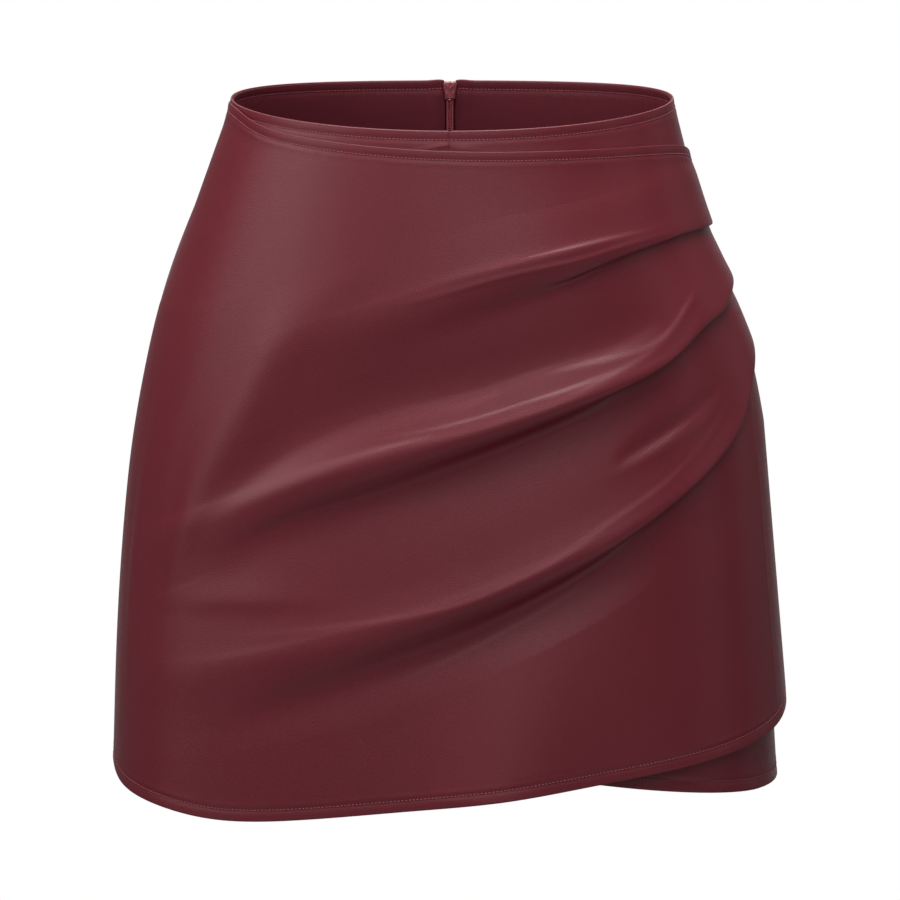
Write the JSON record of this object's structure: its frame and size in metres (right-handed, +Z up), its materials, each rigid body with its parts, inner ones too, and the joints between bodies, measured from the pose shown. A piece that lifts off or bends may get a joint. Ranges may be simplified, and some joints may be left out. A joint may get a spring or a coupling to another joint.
{
  "type": "ruched skort",
  "caption": "High-waisted short skort worn hollow: shorts under a draped front panel with deep pleats sweeping from one side seam, faced waist and concealed back zip.",
  "frame": {"origin": "middle of the waist opening, level with the waist edge at the side seams: where the wearer holds the garment up", "axes": "+Z up, -Y out of the garment's front, +X to the wearer's left"},
  "size_m": [0.375, 0.2488, 0.389],
  "materials": {
    "coated_cloth": "smooth satin coating with a fine grain",
    "coated_cloth_inside": "smooth satin coating",
    "zip_tape": "matt woven tape",
    "zip_coil": "moulded coil, satin",
    "lacquered_metal": "lacquer in the cloth's colour, satin"
  },
  "bodies": {
    "garment": {"shorts_front_left": "coated_cloth", "shorts_front_right": "coated_cloth", "shorts_back_left": "coated_cloth", "shorts_back_right": "coated_cloth", "front_drape": "coated_cloth", "facing_front": "coated_cloth_inside", "facing_back_left": "coated_cloth_inside", "facing_back_right": "coated_cloth_inside", "zip_tape_left": "zip_tape", "zip_tape_right": "zip_tape", "zip_chain": "zip_coil", "zip_stop": "lacquered_metal", "zip_slider": "lacquered_metal"},
    "pull": {"zip_pull": "lacquered_metal"}
  },
  "joints": [
    {"name": "pull_swing", "type": "hinge", "parent": "garment", "child": "pull", "pos_m": [0, 0.0954, -0.00672], "axis": [1, 0, 0], "range_deg": [0, 130]}
  ]
}
